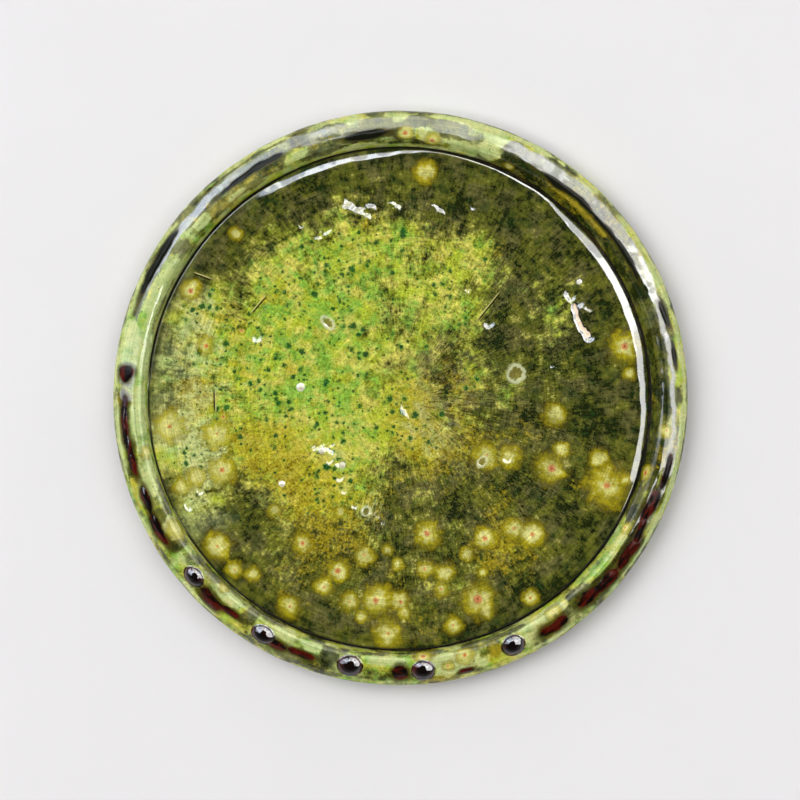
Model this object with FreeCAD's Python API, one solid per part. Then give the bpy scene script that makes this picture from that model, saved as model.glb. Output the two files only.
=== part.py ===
"""Shallow glazed earthenware plate, 200 mm across: a thrown clay body under fused green glaze.

Frame: millimetres, +Z up, origin at the centre of the foot ring's resting face. The plate is round
about Z, and the pits of its face lie towards +Y.

The clay body is one thrown piece: a flat floor, a rolled rim and a turned foot ring. A narrow crease
parts the floor from the rim. The glaze is glass, laid on in coats that stop at the crease and at the
bare foot, and it ran while the plate was fired face down. So a dark line of it lies in the crease,
long brown runs lie along the rim's crest, and beads stand where drops hung from the crest. Each coat,
run, bead and grain of grit is a solid of its own, and meets its neighbours face to face.
"""

import FreeCAD
import Part

import math
import os

V = FreeCAD.Vector
Z_AXIS = V(0, 0, 1)
CENTRE = V(0, 0, 0)

# Driving dimensions, in millimetres and degrees.
PLATE_RADIUS = 100.0  # over the glaze
FACE_COAT = 0.8  # glaze on the floor and the rim
BACK_COAT = 0.5  # glaze on the underside
RECESS_COAT = 0.3  # wash inside the foot ring
FOOT_RADIUS = 60.0  # outside of the foot ring, at its resting face
FOOT_WIDTH = 5.5
FOOT_HEIGHT = 3.0
FOOT_LEAN = 1.2  # each side of the foot spreads this far towards the body
FOOT_ROUND = 0.6
BARE_FOOT_GAP = 1.0  # clay left bare beside the foot
FLOOR_TOP = 9.5  # clay, under the coat
SHOULDER_RADIUS = 83.6  # the floor turns down here, towards the crease
CREASE_RADIUS = 88.4
CREASE_BOTTOM = 7.9
COAT_SPLIT = (85.5, 13.1)  # the floor's and the rim's coats meet on a slant, from the crease to here
POOL_TOP = 9.3  # of the glaze that lies in the crease
CREST_RADIUS = 91.9
CREST_TOP = 15.0  # clay, under the coat
CREST_ROUND = 1.5
RIM_TILT = 21.0  # the rim's outer slope, which falls outwards
RIM_ROUND = 4.0  # between that slope and the outer wall
ROLL_ROUND = 7.0  # between the outer wall and the underside
ROLL_END = 68.0  # degrees of that round
BACK_LINE_RADIUS = 93.0  # the rim's coat ends here, under the rim, and the back's begins
RUN_HEIGHT = 0.5
RUN_WIDTH = 3.6
RUN_RADIUS = 94.6  # distance from the axis to the middle of a run
BEAD_RADIUS = 3.9
BEAD_HEIGHT = 2.2
BEAD_DISTANCE = 94.8
PIT_DEPTH = 0.55
GRIT_HEIGHT = 0.6
SCAR_RADIUS = 1.5
MID_HEIGHT = 6.0  # between the face and the underside, at any distance from the axis

# Where things lie round the rim, in degrees from +X towards +Y.
RUNS = [  # (middle, half the length)
    (15, 9), (38, 11), (62, 9), (97, 4), (124, 9), (150, 7), (169, 1.5), (187.5, 8), (201.5, 3),
    (210, 4), (227.5, 3), (246.5, 3), (268.8, 1.7), (283, 1.3), (304.5, 3), (315.5, 5), (327.5, 5),
    (340, 6), (356, 8),
]
BEADS = [(221, 0.95), (239.8, 0.95), (259.3, 1.05), (274.8, 1.0), (294.5, 1.05)]  # (angle, scale)

# Where things lie on the floor: (degrees, distance from the axis, radius).
PITS = [(99, 67, 2.6), (91, 67, 1.9), (78.5, 68, 2.2), (69, 70, 1.2), (117, 58, 2.2), (134, 36, 2.2)]
GRIT = [(174, 35, 1.4), (214, 33, 1.1), (229, 31, 1.2), (216, 51, 1.0), (33, 74, 0.9)]
SCAR_ENDS = [(29.5, 69), (19, 67.5)]  # a kiln stilt broke away between these, down to the clay


def at(angle, radius, height=0.0):
    """The point at that angle and distance from the axis."""
    turn = math.radians(angle)
    return V(radius * math.cos(turn), radius * math.sin(turn), height)


def section(start, *steps):
    """A closed face in the half plane of X and Z. A step is a point for a line, or two for an arc."""
    edges = []
    here = V(start[0], 0, start[1])
    for step in steps:
        points = [V(r, 0, z) for r, z in (step if isinstance(step[0], tuple) else (step,))]
        edge = Part.Arc(here, *points) if len(points) == 2 else Part.LineSegment(here, points[0])
        edges.append(edge.toShape())
        here = points[-1]
    edges.append(Part.LineSegment(here, V(start[0], 0, start[1])).toShape())
    return Part.Face(Part.Wire(edges))


def on_round(centre, radius, angle):
    """The point of a section's round at that angle."""
    turn = math.radians(angle)
    return centre[0] + radius * math.cos(turn), centre[1] + radius * math.sin(turn)


def round_step(centre, radius, first, last):
    """The step of a section along a round, from one angle to another."""
    return on_round(centre, radius, (first + last) / 2), on_round(centre, radius, last)


def clay_section():
    """The thrown body, from the middle of the foot's recess outwards and back over the face."""
    foot_inner = FOOT_RADIUS - FOOT_WIDTH
    inner_round = (foot_inner + FOOT_ROUND, FOOT_ROUND)
    outer_round = (FOOT_RADIUS - FOOT_ROUND, FOOT_ROUND)
    normal = 90 - RIM_TILT  # the angle that the rim's outer slope faces
    wall = PLATE_RADIUS - FACE_COAT
    crest = (CREST_RADIUS, CREST_TOP - CREST_ROUND)
    slope_top = on_round(crest, CREST_ROUND, normal)
    slope_end = wall - RIM_ROUND + RIM_ROUND * math.cos(math.radians(normal))
    fall = (slope_end - slope_top[0]) * math.tan(math.radians(RIM_TILT))
    widest = slope_top[1] - fall - RIM_ROUND * math.sin(math.radians(normal))
    rim = (wall - RIM_ROUND, widest)
    roll = (wall - ROLL_ROUND, widest)
    inner_wall_top = 155
    return section(
        (0, FOOT_HEIGHT),
        (foot_inner - FOOT_LEAN, FOOT_HEIGHT),
        on_round(inner_round, FOOT_ROUND, 180),
        round_step(inner_round, FOOT_ROUND, 180, 270),
        on_round(outer_round, FOOT_ROUND, 270),
        round_step(outer_round, FOOT_ROUND, 270, 360),
        (FOOT_RADIUS + FOOT_LEAN, FOOT_HEIGHT),
        on_round(roll, ROLL_ROUND, -ROLL_END),
        round_step(roll, ROLL_ROUND, -ROLL_END, 0),
        round_step(rim, RIM_ROUND, 0, normal),
        slope_top,
        round_step(crest, CREST_ROUND, normal, inner_wall_top),
        ((CREASE_RADIUS + 0.7, 11.0), (CREASE_RADIUS, CREASE_BOTTOM)),
        (SHOULDER_RADIUS + 0.6, FLOOR_TOP - 0.35),
        ((SHOULDER_RADIUS - 0.6, FLOOR_TOP - 0.05), (SHOULDER_RADIUS - 2, FLOOR_TOP)),
        (0, FLOOR_TOP),
    )


def grown(face, thickness):
    """The section with a layer of that thickness on every side, cut off at the axis."""
    half_plane = Part.makePlane(2 * PLATE_RADIUS, 2 * PLATE_RADIUS, V(0, 0, -PLATE_RADIUS),
                                V(0, -1, 0), V(1, 0, 0))
    return face.makeOffset2D(thickness).common(half_plane).Faces[0]


def window(*corners):
    """A straight-sided section, for cutting others."""
    return section(corners[0], *corners[1:])


def turned(face):
    """The solid that a section makes when it is turned once round the axis."""
    return face.revolve(CENTRE, Z_AXIS, 360)


def coats(clay):
    """The glaze on the floor, rim, back and foot recess, each as a section."""
    high, wide = 2 * CREST_TOP, PLATE_RADIUS + 10
    back_start = FOOT_RADIUS + FOOT_LEAN + BARE_FOOT_GAP
    recess_end = FOOT_RADIUS - FOOT_WIDTH - FOOT_LEAN - BARE_FOOT_GAP
    over = grown(clay, FACE_COAT).cut(clay)
    return {
        "face_glaze": over.common(window(
            (0, MID_HEIGHT), (CREASE_RADIUS, MID_HEIGHT), (CREASE_RADIUS, CREASE_BOTTOM), COAT_SPLIT,
            (0, COAT_SPLIT[1]))),
        "rim_glaze": over.common(window(
            (CREASE_RADIUS, MID_HEIGHT), (BACK_LINE_RADIUS, MID_HEIGHT), (BACK_LINE_RADIUS, 0),
            (wide, 0), (wide, high), (COAT_SPLIT[0], high), COAT_SPLIT, (CREASE_RADIUS, CREASE_BOTTOM))),
        "back_glaze": grown(clay, BACK_COAT).cut(clay).common(window(
            (back_start, 0), (BACK_LINE_RADIUS, 0), (BACK_LINE_RADIUS, MID_HEIGHT),
            (back_start, MID_HEIGHT))),
        "foot_recess_glaze": grown(clay, RECESS_COAT).cut(clay).common(window(
            (0, 0), (recess_end, 0), (recess_end, MID_HEIGHT), (0, MID_HEIGHT))),
    }


def crease_pool(clay):
    """The section of the glaze that lies in the bottom of the crease, up to a level top."""
    level = window((SHOULDER_RADIUS, MID_HEIGHT), (CREST_RADIUS, MID_HEIGHT),
                   (CREST_RADIUS, POOL_TOP), (SHOULDER_RADIUS, POOL_TOP))
    return level.cut(grown(clay, FACE_COAT))


def cap_sphere(place, base, radius, height):
    """A sphere that stands over the level base by that height, in a cap of that radius."""
    sphere_radius = (radius ** 2 + height ** 2) / (2 * height)
    centre = V(place.x, place.y, base + height - sphere_radius)
    return Part.makeSphere(sphere_radius, centre)


def run_outline(middle, half_length):
    """The plan of one run: a slot along the rim with round ends, drawn out upwards."""
    first, last = middle - half_length, middle + half_length
    inner, outer = RUN_RADIUS - RUN_WIDTH / 2, RUN_RADIUS + RUN_WIDTH / 2
    end_bulge = math.degrees(RUN_WIDTH / 2 / RUN_RADIUS)
    edges = [
        Part.Arc(at(first, inner), at(middle, inner), at(last, inner)),
        Part.Arc(at(last, inner), at(last + end_bulge, RUN_RADIUS), at(last, outer)),
        Part.Arc(at(last, outer), at(middle, outer), at(first, outer)),
        Part.Arc(at(first, outer), at(first - end_bulge, RUN_RADIUS), at(first, inner)),
    ]
    plan = Part.Face(Part.Wire([edge.toShape() for edge in edges]))
    return plan.extrude(V(0, 0, 2 * CREST_TOP))


def crest_runs(clay):
    """Long flat runs of thick glaze that follow the rim's crest."""
    layer = grown(clay, FACE_COAT + RUN_HEIGHT).cut(grown(clay, FACE_COAT))
    upper = window((CREST_RADIUS - 4, MID_HEIGHT), (PLATE_RADIUS + 5, MID_HEIGHT),
                   (PLATE_RADIUS + 5, 2 * CREST_TOP), (CREST_RADIUS - 4, 2 * CREST_TOP))
    ring = turned(layer.common(upper))
    return [ring.common(run_outline(middle, half_length)) for middle, half_length in RUNS]


def crest_beads(glazed, runs):
    """Drops of glaze that froze on the crest. A run that reaches a bead ends against it."""
    beads = []
    for angle, scale in BEADS:
        place = at(angle, BEAD_DISTANCE)
        drop = cap_sphere(place, CREST_TOP, BEAD_RADIUS * scale, BEAD_HEIGHT * scale)
        beads.append(drop.cut(glazed).cut(Part.Compound(runs)))
    return beads


def floor_marks(top):
    """What is taken out of the face's coat: burst bubbles, and the scar where a stilt broke away."""
    pits = [cap_sphere(at(angle, distance), -top, radius, PIT_DEPTH).mirror(CENTRE, Z_AXIS)
            for angle, distance, radius in PITS]
    first, last = (at(angle, distance, top) for angle, distance in SCAR_ENDS)
    along = last - first
    scar = Part.makeCylinder(SCAR_RADIUS, along.Length, first, along)
    ends = [Part.makeSphere(SCAR_RADIUS, end) for end in (first, last)]
    return Part.Compound(pits + [scar.multiFuse(ends)])


def grit(top):
    """Grains from the kiln, sunk into the floor's coat."""
    grains = [cap_sphere(at(angle, distance), top, radius, GRIT_HEIGHT)
              for angle, distance, radius in GRIT]
    above = Part.makeBox(2 * PLATE_RADIUS, 2 * PLATE_RADIUS, CREST_TOP,
                         V(-PLATE_RADIUS, -PLATE_RADIUS, top))
    return [grain.common(above) for grain in grains]


def build():
    """Every node of the plate, by name."""
    clay = clay_section()
    top = FLOOR_TOP + FACE_COAT
    nodes = {name: turned(face) for name, face in coats(clay).items()}
    nodes["face_glaze"] = nodes["face_glaze"].cut(floor_marks(top))
    glazed = turned(grown(clay, FACE_COAT))
    runs = crest_runs(clay)
    nodes["clay_body"] = turned(clay)
    nodes["crease_glaze"] = turned(crease_pool(clay))
    nodes["crest_glaze_runs"] = Part.Compound(runs)
    nodes["crest_glaze_beads"] = Part.Compound(crest_beads(glazed, runs))
    nodes["kiln_grit"] = Part.Compound(grit(top))
    return nodes


def main():
    os.makedirs("parts", exist_ok=True)
    for name, shape in build().items():
        shape = Part.Compound(shape.Solids)
        box = shape.BoundBox
        print(f"{name}: {len(shape.Solids)} solids, {shape.Volume / 1000:.2f} cm3, valid {shape.isValid()}, "
              f"radius {box.XMax:.2f}, height {box.ZMin:.2f} to {box.ZMax:.2f}")
        shape.exportStep(f"parts/{name}.step")


main()
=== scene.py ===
"""A shallow green-glazed earthenware plate, seen from straight above on a pale table.

Sizes in the tables are millimetres and degrees: an angle runs from +X towards +Y, a distance is from
the plate's axis. Meshes are built in millimetres and scaled to metres when they are made.
"""
import itertools
import math

import bpy
import numpy as np
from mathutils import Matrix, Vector


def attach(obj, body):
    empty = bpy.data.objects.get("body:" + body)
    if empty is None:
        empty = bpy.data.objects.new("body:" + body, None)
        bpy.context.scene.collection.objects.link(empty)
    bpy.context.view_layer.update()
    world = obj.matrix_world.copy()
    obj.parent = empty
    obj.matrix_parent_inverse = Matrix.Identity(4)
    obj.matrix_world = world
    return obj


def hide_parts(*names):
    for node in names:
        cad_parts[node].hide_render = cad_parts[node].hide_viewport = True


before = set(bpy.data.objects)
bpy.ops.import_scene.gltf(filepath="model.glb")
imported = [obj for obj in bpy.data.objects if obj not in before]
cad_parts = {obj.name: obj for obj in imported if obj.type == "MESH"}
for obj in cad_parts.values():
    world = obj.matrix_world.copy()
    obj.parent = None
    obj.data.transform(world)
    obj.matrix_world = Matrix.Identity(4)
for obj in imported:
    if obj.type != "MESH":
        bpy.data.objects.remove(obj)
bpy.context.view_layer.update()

MM = 0.001

# The plate's own sizes.
FLOOR_TOP = 10.3  # glaze surface
CLAY_TOP = 9.5
SHOULDER = 83.7
BEVEL_SLOPE = 0.35
RIM_MIDDLE = 95

# Marks in the floor's glaze: (angle, distance, half width across, half width out from the axis, depth).
PITS = [
    (69, 71.4, 1.3, 0.8, 0.4), (114, 63.6, 1.9, 1, 0.5), (157, 54, 1.5, 1.1, 0.6),
    (40, 40, 1.2, 1.4, 0.6), (120, 69, 0.9, 0.9, 0.4), (12, 54, 0.8, 0.8, 0.4), (284, 5, 0.7, 2.2, 0.45),
    (210, 33, 1.2, 1.8, 0.55), (217, 30.5, 2.2, 1.3, 0.6), (228, 31, 1.4, 1.8, 0.5),
    (330, 43, 1, 1, 0.5), (58, 44, 0.8, 0.8, 0.4), (31, 69, 1.9, 1.5, 0.7), (28, 70.5, 1.4, 1.2, 0.7),
    (17.5, 69, 1.1, 1.6, 0.6), (256, 41, 1.2, 1, 0.4), (213, 29, 0.9, 0.7, 0.45),
    (222, 33, 0.8, 1.1, 0.45), (233, 35, 0.9, 1.2, 0.5), (239, 38, 0.7, 1.1, 0.45),
    (247, 41, 0.8, 0.8, 0.45), (252, 43, 0.7, 0.7, 0.4), (259, 42, 0.7, 0.6, 0.4),
    (262, 44, 0.6, 0.6, 0.35), (178, 62, 2.4, 0.5, 0.35), (205, 77, 1.2, 1.2, 0.5),
    (207, 83, 1.6, 1, 0.5),
]
# Shallow dents, in the same form.
DENTS = [(103, 70.6, 2.4, 0.9, 0.35)]
# Tilted facets of torn glaze that catch the light: (angle, distance, half width across, half width out).
FACETS = [
    (105, 69.2, 2.2, 1.9), (102.6, 66.8, 2.3, 1.9), (100.4, 64.6, 1.8, 1.6), (98.6, 67.6, 1.7, 1.3),
    (92.6, 67.6, 1.5, 1.1), (90.4, 66.6, 1.9, 1.1), (79.8, 67.8, 1.3, 0.9), (77.9, 66.6, 1.6, 1.2),
    (69.5, 69.6, 0.9, 0.7), (217, 31.2, 1.6, 0.9), (226, 32.5, 1.3, 1.1), (285, 5.5, 0.7, 1.7),
    (117, 62.5, 1.3, 0.8), (24.8, 72.4, 1.4, 0.9), (26.8, 70.4, 1.2, 0.8),
]
FACET_FACING = 78  # degrees round the axis
FACET_SLOPE = 0.44
# Burst bubbles that healed to a ring: (angle, distance, half width across, half width out).
CRATERS = [(134, 36.5, 1.7, 2.6), (12, 41, 3.1, 2.9), (253, 41, 1.6, 1.6), (322, 36, 2.2, 1.5)]
# Grains of grit under the glaze: (angle, distance, radius).
GRIT = [(174, 35, 1.4), (214, 33, 1.1), (229, 31, 1.2), (216, 51, 1), (33, 74, 0.9)]
# Scratches: (angle, distance) of both ends.
SCRATCHES = [((150.5, 59.5), (142, 58.5)), ((149, 84), (148, 77)), ((45, 38), (46.5, 51)),
             ((177.5, 65), (185, 65))]
# Where a kiln stilt broke away, down to the clay: a line of (angle, distance).
SCAR = [(28, 68.6), (24.5, 67.8), (21.5, 67.6), (18.5, 68.6)]

# Pale spots round pinholes in the glaze: (angle, distance, radius, radius of the rusty core).
HALOS = [
    # centre and right
    (326, 36, 4.4, 0.5), (332, 43, 3.8, 0), (335, 58, 4.8, 1.3), (342, 59, 3, 0), (354, 54, 3.6, 0),
    (13, 80, 5.2, 1.2), (6, 80, 2.2, 0), (337, 78, 6.6, 1.1), (340, 83, 2.6, 0), (343, 72, 3, 0),
    # lower right
    (281, 48, 4.4, 1), (311, 60, 3.6, 0.6), (314, 66, 4.4, 0.8), (301, 57, 3.6, 0.9), (293, 59, 2.2, 0),
    (303, 83, 2.5, 0.5), (295, 67, 1.6, 0), (291, 75, 5.6, 1.5), (292, 80, 2.8, 0), (283, 81, 2.9, 0.4),
    # bottom
    (242, 45, 1.8, 0), (257, 56, 3.2, 0.5), (265, 53, 1.8, 0), (269, 58, 2.2, 0), (278, 60, 2.9, 0.6),
    (284, 63, 3.2, 0), (282, 68, 2.9, 0.5), (250, 64, 3.6, 1), (248, 71, 3.2, 0.5), (256, 73, 3.3, 0.4),
    (263, 71, 4.8, 1), (270, 71, 3.2, 0.7), (271, 75, 2.5, 0.4), (267, 82, 5, 0.5), (260, 77, 2.3, 0),
    (236, 61, 3.3, 0.8), (242, 82, 3.6, 0.5), (222, 59, 2.2, 0),
    # left
    (219, 82, 4.3, 0.5), (226, 83, 2.6, 0.4), (230, 80, 2.5, 0), (202, 67, 4.6, 0.9), (191, 65, 5, 0.4),
    (186, 62, 1.8, 0.6), (187, 81, 5.2, 0.7), (165, 70, 2.9, 0.8), (153, 82, 3.3, 0.9),
    (157, 60, 1.5, 0.6), (201, 76, 2.9, 0), (202, 82, 2.9, 0), (135, 81, 2.2, 0), (84, 79, 3.6, 0),
]
# The same on the rim.
RIM_HALOS = [
    (89, 92, 2.2, 0.8), (83, 90, 2.4, 0.9), (353, 93, 2.2, 0.4), (343, 89, 2.6, 1.1),
    (275, 90, 2.6, 0.9), (284, 92, 2.8, 0.7), (210, 90, 3.6, 0), (305.5, 91, 2.6, 0.3),
    (280, 94.5, 1.8, 0.5), (65, 89, 1.8, 0), (192, 90, 2.2, 0.3), (227, 90, 2, 0), (330, 90, 2, 0.5),
]

# Soft zones of the floor's colour: (angle, distance, radius, strength).
LIGHT_ZONES = [
    (133, 62, 13, 0.5), (111, 55, 13, 0.6), (92, 54, 12, 0.55), (70, 55, 10, 0.55), (60, 57, 8, 0.5),
    (144, 50, 16, 0.55), (125, 36, 16, 0.65), (90, 34, 13, 0.55), (64, 38, 11, 0.45),
    (166, 56, 15, 0.55), (164, 34, 17, 0.7), (133, 18, 14, 0.5), (190, 53, 15, 0.55),
    (203, 34, 16, 0.65), (223, 20, 12, 0.5), (0, 2, 10, 0.4), (235, 37, 12, 0.5), (250, 43, 9, 0.35),
    (51, 36, 7, 0.4), (25, 27, 7, 0.45), (358, 38, 7, 0.4), (28, 64, 10, 0.45), (220, 52, 12, 0.35),
    (168, 76, 14, 0.5), (190, 76, 13, 0.5), (205, 79, 11, 0.4), (336, 56, 9, 0.3), (326, 36, 8, 0.3),
    (354, 53, 8, 0.25), (336, 79, 9, 0.35), (308, 62, 11, 0.3), (262, 76, 18, 0.22), (238, 74, 14, 0.2),
    (285, 66, 9, 0.2), (20, 55, 8, 0.2), (285, 14, 12, 0.45), (335, 16, 12, 0.35), (70, 20, 12, 0.25),
    (270, 36, 7, -0.2), (60, 75, 16, -0.2), (300, 78, 9, -0.2), (220, 72, 8, -0.2), (140, 78, 10, -0.15),
    (318, 48, 9, -0.3), (20, 76, 10, -0.3), (248, 74, 8, -0.15), (335, 68, 8, -0.35),
    (105, 26, 9, -0.25), (120, 47, 7, -0.2), (98, 46, 6, -0.2), (30, 50, 10, -0.2), (12, 68, 9, -0.2),
    (195, 86, 9, 0.4), (210, 84, 7, 0.3), (180, 44, 6, -0.15), (150, 62, 6, -0.25), (215, 46, 5, -0.25),
    (265, 60, 12, -0.15), (242, 66, 12, -0.15), (285, 74, 12, -0.15), (350, 70, 10, -0.25),
    (78, 62, 6, -0.2), (348, 60, 12, -0.3), (325, 62, 9, -0.25), (340, 46, 8, -0.2), (318, 76, 9, -0.25),
    (352, 74, 10, -0.25), (190, 83, 8, 0.4), (208, 74, 8, 0.25), (176, 82, 7, 0.25), (157, 70, 8, 0.4),
    (158, 82, 7, 0.35), (150, 74, 6, 0.25), (330, 68, 16, -0.2), (345, 45, 12, -0.15),
    (195, 68, 8, 0.25), (0, 46, 8, -0.15), (100, 84, 8, -0.1), (0, 84, 10, -0.15), (290, 84, 8, -0.15),
    (240, 52, 7, -0.15), (150, 62, 5, 0.2), (205, 20, 12, 0.2), (225, 12, 8, 0.2), (103, 20, 10, -0.2),
    (100, 36, 9, -0.12), (215, 30, 9, 0.15),
]
OCHRE_ZONES = [
    (208, 44, 13, 0.9), (195, 52, 9, 0.6), (158, 64, 10, 0.7), (228, 50, 10, 0.7), (250, 38, 12, 0.6),
    (78, 50, 8, 0.4), (337, 77, 9, 0.9), (100, 62, 7, 0.5), (180, 74, 9, 0.4), (55, 62, 6, 0.4),
    (240, 76, 14, 0.35), (275, 80, 16, 0.35), (345, 46, 9, 0.4), (312, 50, 8, 0.5), (84, 80, 5, 0.9),
    (300, 24, 11, 0.7), (0, 4, 12, 0.8), (15, 24, 9, 0.5), (240, 60, 9, 0.5), (305, 60, 8, 0.5),
    (330, 30, 10, 0.5), (170, 55, 8, 0.5), (110, 58, 7, 0.4), (285, 12, 11, 0.5), (228, 42, 8, 0.6),
    (140, 55, 7, 0.7), (179, 70, 7, 0.9), (165, 38, 6, 0.6), (200, 53, 10, 0.7), (109, 45, 6, 0.6),
    (142, 37, 6, 0.4), (264, 66, 8, 0.4), (298, 66, 9, 0.6), (310, 72, 8, 0.4), (250, 52, 8, 0.5),
]
MILK_ZONES = [
    (160, 76, 13, 0.8), (175, 72, 14, 0.7), (190, 74, 13, 0.8), (206, 79, 10, 0.9), (212, 86, 7, 1),
    (200, 66, 8, 0.5), (0, 3, 12, 0.4), (256, 41, 6, 0.9), (228, 31, 5, 0.7), (262, 72, 8, 0.4),
    (150, 84, 8, 0.6), (310, 20, 11, 0.7), (215, 60, 7, 0.3), (20, 14, 9, 0.4), (120, 45, 9, 0.3),
    (188, 85, 8, 0.8), (170, 84, 7, 0.6), (128, 86, 7, 0.6), (112, 86, 6, 0.6), (97, 86, 5, 0.5),
    (197, 72, 8, 0.5), (216, 76, 6, 0.7), (222, 84, 6, 0.5), (180, 84, 8, 0.5),
]
GREEN_ZONES = [
    (155, 40, 22, 0.6), (178, 27, 12, 0.8), (120, 52, 14, 0.4), (51, 35, 8, 0.7), (26, 62, 10, 0.6),
    (165, 60, 10, 0.4), (287, 64, 4, 1), (316, 65, 4, 1), (245, 40, 8, 0.5), (306, 68, 8, 0.5),
    (100, 30, 14, 0.4), (95, 56, 10, 0.5), (190, 48, 8, 0.4), (340, 66, 5, 0.6), (284, 82, 6, 0.5),
    (25, 27, 6, 0.6), (0, 38, 6, 0.7), (172, 82, 9, 0.6),
]
# Rows of brown dots that fan out beside the middle.
PIP_ZONES = [(15, 17, 11, 1), (335, 20, 10, 0.8), (60, 22, 9, 0.5), (300, 28, 9, 0.5)]

# Patches of the rim's colour: (angle, distance, half angle, half width), then what they add to the tone,
# milk, green and ochre. What is left out is 0.
RIM_PATCHES = [
    # the outer edge
    (70, 98.8, 16, 1.2, 0.7, 0.8, -0.2), (8, 98.8, 10, 1.2, 0.5, 0.6), (205, 98.8, 14, 1, -0.4, 0, 0.5),
    (245, 98.8, 14, 1, -0.3, 0, 0.3), (340, 98.8, 14, 1, 0.6, 0.6),
    # right
    (9, 96.3, 3, 0.8, -1.6), (18, 96.4, 2.6, 0.9, -1.8), (10, 90.5, 3, 1.6, 0.4, 0, 0.2),
    (44, 90.2, 5, 2, 0.7, 0, 0, 0.6), (55, 90.5, 3, 1.8, 0.3, 0, 0, 0.2),
    (25, 98.6, 24, 1.5, 0.5, 0.6, -0.3),
    # top
    (64, 90, 6, 3, -0.7), (70, 93, 1.8, 6, 1.2, 0.9, 0.3, 0.2), (76, 91, 4, 2.6, 0.5, 0.7, 0.5),
    (83, 90.5, 2.6, 2.6, 1, 0.7, 0, 0.4), (86, 91.6, 1, 1.8, 0.2, -0.4, 0, 1.2),
    (89, 92, 2.4, 2, 1, 0.9, 0.2), (97, 91.6, 5, 1.3, -1.5), (99, 88.8, 3.4, 1.2, 1.2, 0.9),
    (107, 90, 4.6, 2.6, -0.5, 0, 0, 0.2), (112, 91, 2.6, 1.8, 0.4, 0.6, 0.3), (119, 92.8, 4, 1.5, -1.4),
    (92, 97, 22, 2.6, 0.2, 0.3, 0.4),
    # upper left
    (130, 98.2, 12, 0.5, -1.2), (131, 94.3, 11, 0.6, -1.3), (127, 91, 9, 2.8, -0.55, 0, -0.2, 0.4),
    (138, 92.2, 2.3, 2, 0.8, 0.9, 0.1), (129, 90.6, 2.2, 1.2, 0.5, 0.7),
    (146, 91.5, 2, 2.6, -0.5, 0, 0.4), (151, 96.9, 9, 1, -1.8), (155, 90.6, 7.5, 2.6, 0.7, 0.9, 0.9),
    (171, 92.5, 9, 4.6, 0.1, 0.1, 1.2), (166.5, 96.2, 2.5, 2, 1.3, 1.4, -0.6, 0.3),
    (162, 98.6, 5, 1, 0.2, 0.4, 1),
    # lower left
    (190, 91.2, 11, 2.8, 0.6, 0.6, 0.1), (188, 98.8, 8, 0.9, 0.6, 0.9, 0.8),
    (200, 97.6, 2.6, 1.4, 0.2, 0, 0, 1), (210, 90.2, 3.6, 2.4, 0.9, 1), (213.5, 92.4, 1.1, 3.6, -1.1),
    (206, 92.6, 1.6, 2.6, -0.8), (216, 95.4, 1.8, 3.4, 0.5, 0.6, 0.3), (229, 91, 3.8, 2, 0.8, 0.8, 0.1),
    (235, 92.2, 1.4, 3.8, -0.9), (224, 99, 6, 1, 0.6, 0.5, 0.1), (233, 97.5, 3, 2, 0.2, 0.2, 0, 0.3),
    # bottom
    (244, 91.2, 2.4, 2, 0.7, 0.8, 0.4), (250, 91.4, 2.8, 2.2, 0.6, 0.9, 0.5),
    (254.5, 93.2, 1.6, 4, -0.9), (247, 97.5, 4.5, 2, -0.3, 0, 0, 0.3),
    (265, 96.8, 2.8, 2.3, 0, -0.4, 1.9), (267, 91.4, 4, 2, 0.8, 0.7, 0.4), (271, 88.8, 2, 0.8, -0.9),
    (281.5, 94, 5.2, 4.4, 0.9, 0.9, 0.1), (287.5, 98, 1.7, 1.5, 0, -0.3, 1.7),
    (288, 93, 0.9, 0.9, 0, -0.2, 1.4), (290.5, 92.4, 1.2, 2.8, -0.7, 0, 0, 0.3),
    (298.6, 93.5, 2, 3.8, 0.4, 0.6, 0.6), (296, 89.6, 4, 1.4, -0.8), (260, 89.4, 4, 1.2, -0.6),
    # lower right
    (305, 91, 4, 2.3, 0.8, 0.8, 0.2), (303, 98.7, 5, 0.9, 0.5, 0.6, 0.2), (312, 90.6, 2.6, 2.6, -0.7),
    (330, 93.2, 22, 0.8, -1.1), (322, 91, 8, 1.8, 0.6, 0.5, 0, 0.2),
    (342.5, 89.6, 2.8, 1.9, 1, 0.8, 0, 0.5), (353.5, 92, 2.5, 2.3, 0.9, 1, 0.3),
    (330, 98.7, 10, 1, 0.5, 0.4, 0.6), (355, 98.6, 8, 1.3, 0.8, 0.7), (348, 96.6, 4, 0.8, -1.2),
    (348, 91.2, 3, 2.6, -0.8), (333, 89.6, 3, 1.4, -0.5),
]

# The bright band on the rim's outer slope, where the glaze is clear and glassy:
# (angle, inner edge, outer edge, strength).
GLASSY_BAND = [
    (0, 94, 95.6, 1), (10, 93.6, 95.3, 1), (20, 93.6, 95.6, 1), (26, 92, 97.2, 1), (32, 93.4, 97.6, 1),
    (45, 93, 97.4, 0.9), (58, 92.8, 97, 0.8), (66, 93.2, 97.6, 0.7), (72, 93.8, 96, 0.2),
    (77, 91.8, 97.8, 0.8), (84, 93.6, 97.6, 0.5), (95, 93.8, 98, 0.6), (104, 92.8, 97.6, 0.8),
    (112, 93.6, 97.8, 0.6), (120, 94.8, 97.4, 0.85), (130, 95, 97.4, 1), (141, 95, 97.2, 1),
    (150, 94.8, 96, 1), (160, 95.2, 96.2, 0.7), (166, 95.2, 96, 0.1), (180, 96, 97.2, 0.3),
    (195, 95.6, 97, 0.5), (210, 93, 98, 0.8), (335, 93, 98, 0.9), (345, 94.6, 96.2, 0.9),
]
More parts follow.
